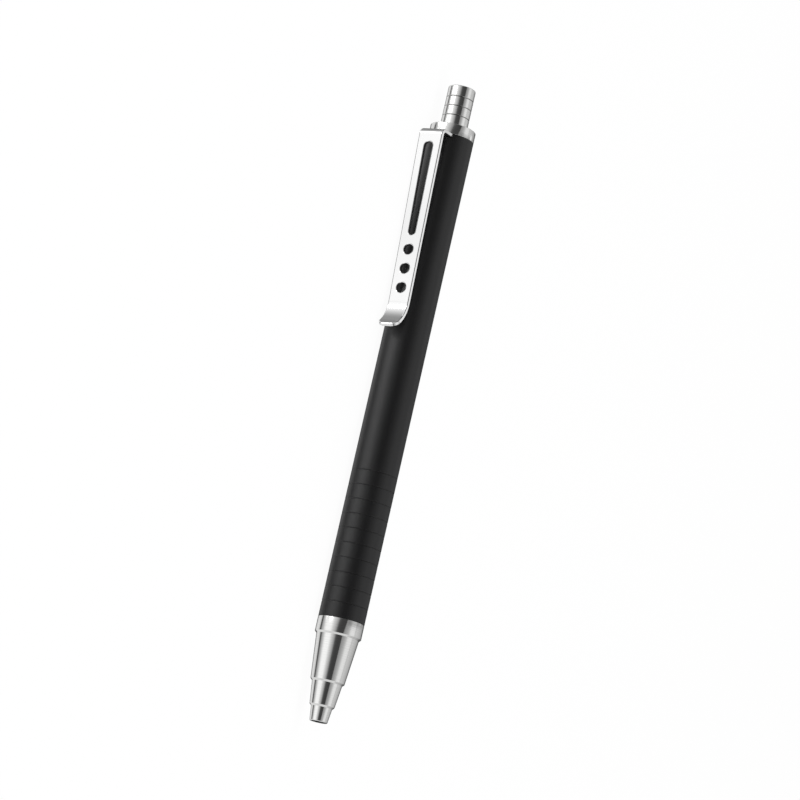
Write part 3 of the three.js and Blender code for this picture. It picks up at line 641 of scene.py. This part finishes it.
class ClipStrip:
    """A layer of the clip's strip, at a height over its middle, with the clip's outline less an even inset.

    The middle is the sum of (cos(heading) out, sin(heading) towards the tip) along the distance s. The
    heading is steady on straight stretches and changes at the rate 1 / radius on bends. The distance
    across the strip is x.
    """

    SHARE = np.linspace(-1, 1, 21)  # of the half width, at each point across

    def __init__(self, sizes, height, inset):
        thickness = sizes.clip_thickness
        bend = BEND_INSIDE + thickness / 2
        self.inset = inset
        flange = FACE_OUT - thickness / 2 - bend - RING_OUTSIDE
        lengths = [flange, bend * TOP_TURN, ARM_LENGTH, FLARE_RADIUS * FLARE_TURN, TAIL_LENGTH]
        self.marks = np.cumsum([0.0, *lengths])
        self.fine = np.linspace(0, self.marks[-1], 8001)
        heading = np.interp(self.fine, self.marks, np.cumsum([0.0, 0.0, TOP_TURN, 0.0, -FLARE_TURN, 0.0]))
        middle = (heading[1:] + heading[:-1]) / 2
        run_out, run_down = (
            np.concatenate([[0], np.cumsum(part(middle))]) * self.fine[1] for part in (np.cos, np.sin))
        self.middle_y = BARREL_REAR - thickness / 2 - run_down
        self.out = RING_OUTSIDE + run_out + height * np.sin(heading)
        self.y = self.middle_y + height * np.cos(heading)
        self.half_top = sizes.clip_top_width / 2 - inset
        self.half_end = sizes.clip_end_width / 2 - inset
        self.corner = sizes.clip_corner - inset
        self.end = self.marks[-1] - inset

    def down(self, millimetres):
        """The distance s on the arm that is this far below the clip's top."""
        arm = self.fine > self.marks[1]
        return float(np.interp(millimetres * MM - BARREL_REAR, -self.middle_y[arm], self.fine[arm]))

    def half_width(self, s):
        """The width goes evenly from the bend's to the end's, less what the round end corners take off:
        corner - sqrt(corner^2 - reach^2), where reach is how far s is inside the corner."""
        middle_y = np.interp(s, self.fine, self.middle_y)
        share = (BARREL_REAR - middle_y) / (BARREL_REAR - self.middle_y[-1])
        straight = self.half_top * (1 - share) + self.half_end * share
        reach = np.clip(s - (self.end - self.corner), 0, self.corner)
        return straight - (self.corner - np.sqrt(self.corner**2 - reach**2))

    def points(self, s, x):
        """Places of points at distance s along the strip and x across it."""
        return lay(x, np.interp(s, self.fine, self.out), np.interp(s, self.fine, self.y))

    def plain(self, *distances):
        """A block without holes, with a row at each distance s of np.linspace(*distances)."""
        return self.between_edges(np.linspace(*distances))

    def between_edges(self, s):
        """Points at even shares of the width at each distance s."""
        return self.points(s[:, None], self.half_width(s)[:, None] * self.SHARE)

    def pierced(self, start, end, near, far, radius_near, radius_far):
        """A block round a hole with round ends: evenly spread rings from the block's border to the hole's
        outline, which lies at the radius from the nearest point of the middle between near and far."""
        share = self.SHARE
        rise = np.linspace(start, end, max(9, round((end - start) / (0.3 * MM))))
        flat = np.ones(len(share) - 1)
        tall = np.ones(len(rise) - 1)
        border = np.concatenate([start * flat, rise[:-1], end * flat, rise[:0:-1]])
        across = np.concatenate([share[:-1], tall, share[:0:-1], -tall]) * self.half_width(border)
        middle = np.clip(border, near, far)
        share_far = (middle - near) / max(far - near, 1e-9)
        radius = radius_near + (radius_far - radius_near) * share_far + self.inset
        away = np.hypot(border - middle, across)
        ring = np.linspace(0, 1, 4)[:, None]
        s = border + (middle + (border - middle) * radius / away - border) * ring
        x = across + (across * radius / away - across) * ring
        return self.points(s, x)

    def top_ring(self):
        """The flat ring round the collar's spigot, and the flange from it to the start of the bend. The
        narrow ring's inner edge has half the inset."""
        outside = RING_OUTSIDE - self.inset
        x = self.SHARE * self.half_top
        mouth = np.arcsin(x / outside)
        rest = np.linspace(mouth[-1], 2 * np.pi + mouth[0], 73)
        angle = np.concatenate([mouth[:-1], rest[:-1]])
        inside = RING_INSIDE + self.inset / 2
        ring = place(np.linspace(inside, outside, 3)[:, None], angle[None], self.y[0])
        arc = outside * np.cos(mouth)
        out = arc + (RING_OUTSIDE + self.marks[1] - arc) * np.linspace(0, 1, 7)[:, None]
        return ring, lay(x, out, self.y[0])

    def blocks(self):
        """All blocks from the ring to the end."""
        bend_start, bend_end, flare = self.marks[1:4]
        slot_top, slot_end = map(self.down, SLOT_DOWN)
        top_radius, end_radius = SLOT_RADII
        margin, gap = 0.5 * MM, 1.45 * MM  # from the slot, and from a hole's centre, to the block's ends
        middle = (slot_top + top_radius, slot_end - end_radius)
        holes = [(slot_top - margin, slot_end + margin, *middle, *SLOT_RADII)]
        for centre in map(self.down, HOLES_DOWN):
            holes.append((centre - gap, centre + gap, centre, centre, HOLE_RADIUS, HOLE_RADIUS))
        blocks = [*self.top_ring(), self.plain(bend_start, bend_end, 21)]
        rest = bend_end
        for hole in holes:
            blocks += [self.plain(rest, hole[0], 3), self.pierced(*hole)]
            rest = hole[1]
        quarter = 0.47 * np.pi  # a quarter turn, less a little that keeps the last row apart from the end
        corner_start = self.end - self.corner
        corner = corner_start + self.corner * np.sin(np.linspace(0, quarter, 15))
        return [
            *blocks, self.plain(rest, flare, 3), self.plain(flare, corner_start, 25),
            self.between_edges(corner)]

    def sheet(self):
        """The points of all blocks in one list, and their quads. A block that goes round a hole is closed,
        and each other one is as many points wide as the strip."""
        points, quads, start = [], [], 0
        for block in self.blocks():
            rows, columns = block.shape[:2]
            points.append(block.reshape(-1, 3))
            closed = columns != len(self.SHARE)
            quads.append(grid_faces(rows, columns, False, closed, start)[:, ::-1])
            start += rows * columns
        return np.concatenate(points), np.concatenate(quads)


class PEN_OT_clip(bpy.types.Operator):
    """Make the pressed steel pocket clip, with its slot, its holes and its flared end"""

    bl_idname = "pen.clip"
    bl_label = "Pocket clip"

    def execute(self, context):
        sizes = context.scene.pen_sizes
        half, bevel, roll = sizes.clip_thickness / 2, sizes.clip_bevel, sizes.clip_roll
        knee = half - roll * math.tan(ROLL_SLOPE)
        wall = knee - bevel * math.tan(BEVEL_SLOPE)
        upper = [(half, roll + bevel), (knee, bevel), (wall, 0)]
        layers = [*upper, *((-height, inset) for height, inset in reversed(upper))]
        sheets = [ClipStrip(sizes, *layer).sheet() for layer in layers]
        clip = shell("clip", [points for points, _ in sheets], sheets[0][1], 14)
        finish_piece(clip, "barrel_body", "clip_steel", "pocket_clip")
        return {"FINISHED"}


# Inner pieces

REFILL_FRONT = 2.2  # from the nose's tip back to the front of the ball, in millimetres
BALL_RADIUS = 0.5  # in millimetres


class PEN_OT_refill(bpy.types.Operator):
    """Make the refill: its point and ball, its neck, its tube, and the ink and the grease in it"""

    bl_idname = "pen.refill"
    bl_label = "Refill"

    def execute(self, context):
        """The corners are (radius, distance from the ball's front, fillet), in millimetres."""
        point = [
            (0.464, 0.26, 0.01), (0.6, 0.26, 0.03), (0.66, 0.42, 0.02), (0.72, 0.46, 0.02), (1.1, 2.3, 0.05),
            (1.17, 2.6, 0.05), (1.17, 11.3, 0.04), (0.8, 11.3), (0.8, 14.9), (0.3, 14.9), (0.3, 1.1),
            (0.55, 0.85), (0.55, 0.5)]
        neck = [
            (0.85, 11.5), (1.45, 11.5, 0.1), (1.45, 16.3, 0.08), (2.95, 16.3, 0.12), (2.95, 17.1, 0.05),
            (2.6, 17.1), (2.6, 21.1, 0.1), (0.3, 21.1), (0.3, 15.1), (0.85, 15.1)]
        tube = [
            (2.65, 17.3), (2.88, 17.3, 0.03), (2.95, 17.5, 0.05), (2.95, 18.6, 0.1), (2.87, 18.8, 0.1),
            (2.87, 19.1, 0.1), (2.95, 19.3, 0.1), (2.95, 95.6, 0.05), (2.88, 95.8, 0.03), (2.65, 95.8)]
        ink = [(0, 21.3), (2.6, 21.3, 0.1), (2.6, 76.3, 0.02), (2.0, 75.7, 0.3), (0, 75.4)]
        follower = [
            (0, 75.6), (2.0, 75.9, 0.3), (2.6, 76.5, 0.02), (2.6, 82.5, 0.02), (2.0, 81.8, 0.3), (0, 81.5)]
        rows = [
            ("ball_point", point, 96, "brass", "refill_point"),
            ("refill_collar", neck, 96, "cam_plastic", "refill_neck"),
            ("refill_shell", tube, 128, "spring_steel", "refill_tube"),
            ("ink_fill", ink, 64, "ink", "ink_column"),
            ("grease_fill", follower, 64, "grease", "ink_follower")]
        for name, corners, sides, slot, node in rows:
            corners = in_metres([(radius, y + REFILL_FRONT, *rest) for radius, y, *rest in corners])
            finish_piece(turned(name, rounded(corners), sides), "refill", slot, node)
        turn = np.linspace(0, np.pi, 49)
        ball_y = REFILL_FRONT + BALL_RADIUS - BALL_RADIUS * np.cos(turn)
        ball = np.stack([BALL_RADIUS * np.sin(turn), ball_y], axis=1) * MM
        finish_piece(turned("ball", ball, 96), "ball", "hard_metal", "writing_ball")
        return {"FINISHED"}


class PEN_OT_spring(bpy.types.Operator):
    """Make the coil spring round the refill's point"""

    bl_idname = "pen.spring"
    bl_label = "Return spring"

    def execute(self, context):
        """The wire's middle turns steadily round the axis, and y is the sum of its rise, which is little
        over the wire's diameter per turn at both ends and more between. The section is a circle across
        the wire, and a point at both ends."""
        radius, wire = 1.82 * MM, 0.18 * MM
        front, rear = 7.38 * MM, 18.12 * MM
        turns, per_turn, closed_pitch = 9, 48, 0.39 * MM
        turn = np.linspace(0, turns, turns * per_turn + 1)
        ends = np.clip(1.6 - np.minimum(turn, turns - turn), 0, 1)
        share = 1 - ends * ends * (3 - 2 * ends)
        left = rear - front - closed_pitch * turns
        y = front + closed_pitch * turn + left * np.cumsum(share) / share.sum()
        angle = 2 * np.pi * turn
        middle = place(radius, angle, y)
        along = unit(np.gradient(middle, axis=0))
        outward = place(1.0, angle, 0.0) - place(0.0, angle, 0.0)
        beside = np.cross(along, outward)
        section = np.linspace(0, 2 * np.pi, 16, endpoint=False)[None, :, None]
        size = np.full(len(turn), wire)
        size[[0, -1]] = 0
        points = middle[:, None] + size[:, None, None] * (
            np.cos(section) * outward[:, None] + np.sin(section) * beside[:, None])
        spring = mesh_object("coil_spring", points, grid_faces(*points.shape[:2], False, True))
        finish_piece(spring, "barrel_body", "spring_steel", "return_spring")
        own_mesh(spring)
        return {"FINISHED"}


class PEN_OT_bushes(bpy.types.Operator):
    """Make the brass bushes, the washer and the sealing ring"""

    bl_idname = "pen.bushes"
    bl_label = "Bushes and rings"

    def execute(self, context):
        front_bush = [(3.6, 21.92, 0.1), (4.05, 21.92, 0.1), (4.05, 31.38, 0.1), (3.6, 31.38, 0.1)]
        rear_bush = [
            (2.95, 103.0), (4.05, 103.0, 0.1), (4.05, 119.47, 0.1), (3.6, 119.47, 0.1), (3.6, 103.8),
            (2.95, 103.8)]
        washer = [(3.6, 119.67, 0.05), (4.05, 119.67, 0.05), (4.05, 120.07, 0.05), (3.6, 120.07, 0.05)]
        around, thick = np.linspace(2 * np.pi, 0, 25)[1:], 0.38
        ring = np.stack([3.67 - thick * np.cos(around), 21.29 + thick * np.sin(around)], axis=1)
        rows = [
            ("front_bush", front_bush, "brass", "barrel_front_insert"),
            ("rear_bush", rear_bush, "brass", "barrel_rear_insert"),
            ("spring_washer", washer, "spring_steel", "clip_washer"),
            ("sealing_ring", ring, "rubber", "nose_sealing_ring")]
        for name, corners, slot, node in rows:
            finish_piece(turned(name, rounded(in_metres(corners)), 128), "barrel_body", slot, node)
        return {"FINISHED"}


class PEN_OT_mechanism(bpy.types.Operator):
    """Finish the click mechanism and the refill's plug, whose solids already have their shape"""

    bl_idname = "pen.mechanism"
    bl_label = "Click mechanism"

    def execute(self, context):
        slots = {
            "cam_sleeve": "cam_plastic", "plunger": "cam_plastic", "rotor_cam": "red_plastic",
            "refill_rear_plug": "red_plastic"}
        for node, slot in slots.items():
            for material_slot in frame["nodes"][node].material_slots:
                material_slot.material = bpy.data.materials[f"{slot}_finish"]
        return {"FINISHED"}


# Stage

CAMERA_DISTANCE = 0.7
FOCAL_PIXELS = 3509.5
PICTURE_PIXELS = 800
PEN_TILT = math.radians(11.41)  # the pen's tip is nearer to the camera than its button
PEN_ROLL = math.radians(12.8)  # of the pen in the picture, away from upright
MIDDLE_OFFSET = (-8.33, -0.37)  # of the pen's middle from the picture's centre, in pixels
CAMERA_RISE = math.radians(34)  # of the camera round the pen's axis, from the clip's side upwards

TABLE_HALF = 3.0
TABLE_WHITE = (0.95, 0.1)  # share of an even white in what shows of the table, directly and reflected
FILL_LIGHT = 0.7
LAMP_SIZE = (2.4, 0.7)
LAMP_DISTANCE = 1.2
LAMP_LEAN = math.radians(15)
LAMP_POWER = 9.0

TENT_RADIUS = 1.0
TENT_HALF_LENGTH = 2.0
TENT_CLOSE = 0.7  # the tent's points are close together up to this far from its middle
# The tent's grey level, by angle round the pen's axis: 0 is level towards the front, 90 straight up and
# -90 straight down
TENT = [
    (-180, 0.10), (-138, 0.12), (-131, 0.62), (-111, 0.80), (-100, 0.70), (-93, 0.60), (-88, 0.08),
    (-81, 0.08), (-77, 0.26), (-73, 0.38), (-63, 0.60), (-53, 0.92), (-46, 1.02), (-36, 1.02),
    (-25, 0.99), (-20, 0.86), (-15, 0.70), (-5, 0.49), (3, 0.29), (8, 0.10), (15, 0.06), (25, 0.05),
    (40, 0.05), (43, 0.28), (55, 0.38), (65, 0.50), (71, 0.64), (76, 0.77), (87, 0.82), (100, 0.78),
    (106, 0.56), (113, 0.62), (129, 0.54), (148, 0.45), (160, 0.32), (170, 0.12), (180, 0.10)]
# By how much a level lies higher at the tent's stretch over the button, by angle
TENT_SKEW = [(-85, 0), (-75, -8), (-55, -8), (-30, 0), (0, 5), (40, 13), (60, 13), (100, 4), (120, 0)]
SKEWED_AT = -0.36
MOST_SKEW = 1.5
# Cards on the tent. Each starts, is whole, starts to fade and ends at these distances towards the button,
# and at these angles.
CARDS = {
    "low_rear": ((0.35, 0.65, 3.0, 4.0), (-142, -138, -50, -35)),
    "low_front": ((-4.0, -3.0, -0.45, -0.25), (-142, -138, -70, -55)),
    "clip_sheen": ((0.13, 0.27, 0.30, 0.33), (-72, -58, -32, -20)),
    "clip_face": ((0.163, 0.177, 0.182, 0.215), (-60, -56, -44, -40)),
    "barrel_shade": ((0.12, 0.16, 0.26, 0.29), (45, 65, 150, 170)),
    "clip_edge": ((0.16, 0.22, 0.325, 0.345), (121, 126, 135, 140)),
    "button_glow": ((0.37, 0.45, 0.54, 0.62), (-70, -58, -32, -20))}
CARD_LEVELS = {"low_front": 0.75, "clip_face": 0.9, "clip_edge": 0.85, "button_glow": 8.0}
# Level of the card at the low rear, by distance towards the button, and the angles at which it is half of
# that and all of it
REAR_LEVELS = [(0.5, 1.0), (0.75, 0.85), (1.0, 0.6), (1.25, 0.42), (1.45, 0.32), (1.6, 0.26)]
REAR_ANGLES = (-140, -110)
SHEEN = 1.0  # how much lighter the clip's sheen is than the tent
SHADE = 0.4  # how much darker the barrel's shade is than the tent
# Cards across the tent's ends, by place and level
END_CARDS = {"rear_card": (-TENT_HALF_LENGTH, 0.2), "front_card": (TENT_HALF_LENGTH, 0.7)}


def camera_matrix():
    """The camera's place and turn. Three directions are known both in its own axes and in the frame: the
    pen's axis, the perpendicular to it towards the camera, and the perpendicular to both. The turn takes
    the first set to the second, and the place follows from the pen's middle."""
    level = math.cos(PEN_TILT)
    axis = np.array([math.sin(PEN_ROLL) * level, -math.cos(PEN_ROLL) * level, math.sin(PEN_TILT)])
    scale = CAMERA_DISTANCE / FOCAL_PIXELS
    middle = np.array([MIDDLE_OFFSET[0] * scale, MIDDLE_OFFSET[1] * scale, CAMERA_DISTANCE])
    towards = unit(-middle + (middle @ axis) * axis)
    own = np.stack([np.cross(axis, towards), axis, towards], axis=1)

    rise = CAMERA_RISE + math.atan2(OUT[2], -OUT[1])
    to_tail = np.array([-1.0, 0.0, 0.0])
    to_camera = np.array([0.0, -math.cos(rise), math.sin(rise)])
    there = np.stack([np.cross(to_tail, to_camera), to_tail, to_camera], axis=1)
    turn = there @ own.T
    centre = np.array([(TIP_X + TAIL_X) / 2, AXIS_Y, AXIS_Z])
    matrix = np.eye(4)
    matrix[:3, :3] = turn @ np.diag([1, -1, -1])
    matrix[:3, 3] = centre - turn @ middle
    return Matrix(matrix.tolist())


def add_camera():
    """The camera, with a lens that gives the focal length in pixels on the whole picture."""
    data = bpy.data.cameras.new("camera")
    data.sensor_width = 36.0
    data.lens = FOCAL_PIXELS / PICTURE_PIXELS * data.sensor_width
    data.clip_start = 0.05
    camera = link_object("camera", data)
    camera.matrix_world = camera_matrix()
    bpy.context.scene.camera = camera


def stage_object(name, points, faces, material):
    """A mesh that belongs to the stage and not to the pen."""
    mesh = bpy.data.meshes.new(name)
    mesh.from_pydata(points, [], faces.tolist())
    mesh.materials.append(material)
    made = link_object(name, mesh)
    return made


def add_floor():
    """A wide white table, which the camera sees mostly as an even white, with a trace of the pen's shadow."""
    made = Finish("white_table", (0.95, 0.95, 0.95), Roughness=0.9, Specular_IOR_Level=0.1)
    glow = made.add("Emission", Color=(1, 1, 1, 1), Strength=1.0)
    share = made.seen_share(*TABLE_WHITE)
    made.show(made.add("MixShader", i0=share, i1=made.shader.outputs[0], i2=glow.outputs[0]))
    corners = TABLE_HALF * np.array([(-1, -1, 0), (1, -1, 0), (1, 1, 0), (-1, 1, 0)])
    table = stage_object("table_top", corners, np.array([(0, 1, 2, 3)]), made.material)
    table.visible_glossy = False


def add_world():
    """An even white studio. Seen directly or in a shiny surface it is plain white, and it lights the rest
    less, because the lamp does its part."""
    world = bpy.data.worlds.new("studio")
    bpy.context.scene.world = world
    made = Nodes(world)
    background = made.nodes["Background"].inputs
    background["Color"].default_value = (1, 1, 1, 1)
    strength = made.scaled(made.seen_share(1.0, 1.0), 1 - FILL_LIGHT, FILL_LIGHT)
    made.links.new(strength, background["Strength"])


def reflected_only(name, points, levels):
    """A stage surface from a grid of points, which glows by a grey level at each and shows only in
    reflections."""
    made = Finish(f"{name}_surface", (0, 0, 0))
    level = made.add("Attribute", attribute_name="level")
    made.show(made.add("Emission", Color=(1, 1, 1, 1), Strength=level.outputs["Fac"]))
    card = stage_object(name, points.reshape(-1, 3), grid_faces(*points.shape[:2]), made.material)
    give_values(card, "level", levels)
    card.visible_camera = card.visible_diffuse = card.visible_shadow = False


def between(value, start, end):
    """A smooth step from 0 at start to 1 at end."""
    t = np.clip((value - start) / (end - start), 0, 1)
    return t * t * (3 - 2 * t)


def window(value, start, whole, fading, end):
    """A smooth step from 0 at start to 1 at whole, times one from 1 at fading to 0 at end."""
    return between(value, start, whole) * between(value, end, fading)


def add_tent():
    """A long tent of grey levels round the pen's axis, and a grey card across each of its ends.

    point(row, column) = axis + radius * (cos(angle) towards the front + sin(angle) up)
    """
    far = np.linspace(TENT_CLOSE, TENT_HALF_LENGTH, 27)
    close = np.linspace(-TENT_CLOSE, TENT_CLOSE, 113)[1:-1]
    along = np.concatenate([-far[::-1], close, far])
    degrees, x = np.meshgrid(np.linspace(-180, 180, 361), along, indexing="ij")
    angle = np.radians(degrees)
    points = np.stack(
        [x, AXIS_Y - TENT_RADIUS * np.cos(angle), AXIS_Z + TENT_RADIUS * np.sin(angle)], axis=-1)
    skewed = degrees - np.interp(degrees, *zip(*TENT_SKEW)) * np.clip(x / SKEWED_AT, 0, MOST_SKEW)
    level = np.interp(skewed, *zip(*TENT))
    card = {name: window(-x, *span) * window(degrees, *angles) for name, (span, angles) in CARDS.items()}
    rear = np.interp(-x, *zip(*REAR_LEVELS)) * (0.5 + 0.5 * between(degrees, *REAR_ANGLES))
    level += (rear - level) * card["low_rear"]
    off_face = 1 - window(degrees, *CARDS["clip_face"][1])
    level *= 1 + SHEEN * card["clip_sheen"] * off_face
    level *= 1 - SHADE * card["barrel_shade"]
    for name, card_level in CARD_LEVELS.items():
        level += (card_level - level) * card[name]
    reflected_only("reflection_tent", points, level)
    y, z = np.meshgrid([-TENT_RADIUS, TENT_RADIUS], [-TENT_RADIUS, TENT_RADIUS], indexing="ij")
    for name, (end_x, end_level) in END_CARDS.items():
        points = np.stack([np.full_like(y, end_x), y, z], axis=-1)
        reflected_only(name, points, np.full_like(y, end_level))


def add_lamp():
    """A soft lamp over the pen, a little towards the front."""
    data = bpy.data.lights.new("soft_lamp", "AREA")
    data.shape = "RECTANGLE"
    data.size, data.size_y = LAMP_SIZE
    data.energy = LAMP_POWER
    lamp = link_object("soft_lamp", data)
    lamp.location = (0, -LAMP_DISTANCE * math.sin(LAMP_LEAN), LAMP_DISTANCE * math.cos(LAMP_LEAN))
    lamp.rotation_euler = (-LAMP_LEAN, 0, 0)
    lamp.visible_glossy = False


class PEN_OT_stage(bpy.types.Operator):
    """Make the camera, the table, the light and the cards that shape the reflections"""

    bl_idname = "pen.stage"
    bl_label = "Stage"

    def execute(self, context):
        context.scene.view_settings.view_transform = "Standard"
        add_camera()
        add_floor()
        add_world()
        add_lamp()
        add_tent()
        return {"FINISHED"}


OPERATORS = (
    PEN_OT_stage, PEN_OT_finishes, PEN_OT_nose, PEN_OT_barrel, PEN_OT_collar, PEN_OT_button, PEN_OT_clip,
    PEN_OT_refill, PEN_OT_spring, PEN_OT_bushes, PEN_OT_mechanism)


class PEN_PT_panel(bpy.types.Panel):
    """Sizes and colours of the pen, and the makers of its pieces"""

    bl_label = "Retractable Pen"
    bl_idname = "PEN_PT_panel"
    bl_space_type = "VIEW_3D"
    bl_region_type = "UI"
    bl_category = "Pen"

    def draw(self, context):
        for group in (context.scene.pen_sizes, context.scene.pen_colours):
            for name in type(group).__annotations__:
                self.layout.prop(group, name)
        for operator in OPERATORS:
            self.layout.operator(operator.bl_idname)


CLASSES = (PenSizes, PenColours, *OPERATORS, PEN_PT_panel)


def register():
    for made in CLASSES:
        bpy.utils.register_class(made)
    bpy.types.Scene.pen_sizes = PointerProperty(type=PenSizes)
    bpy.types.Scene.pen_colours = PointerProperty(type=PenColours)


def unregister():
    del bpy.types.Scene.pen_colours
    del bpy.types.Scene.pen_sizes
    for made in reversed(CLASSES):
        bpy.utils.unregister_class(made)


def main():
    """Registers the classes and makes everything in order."""
    register()
    for operator in OPERATORS:
        getattr(bpy.ops.pen, operator.bl_idname.split(".")[1])()


if __name__ == "__main__":
    main()
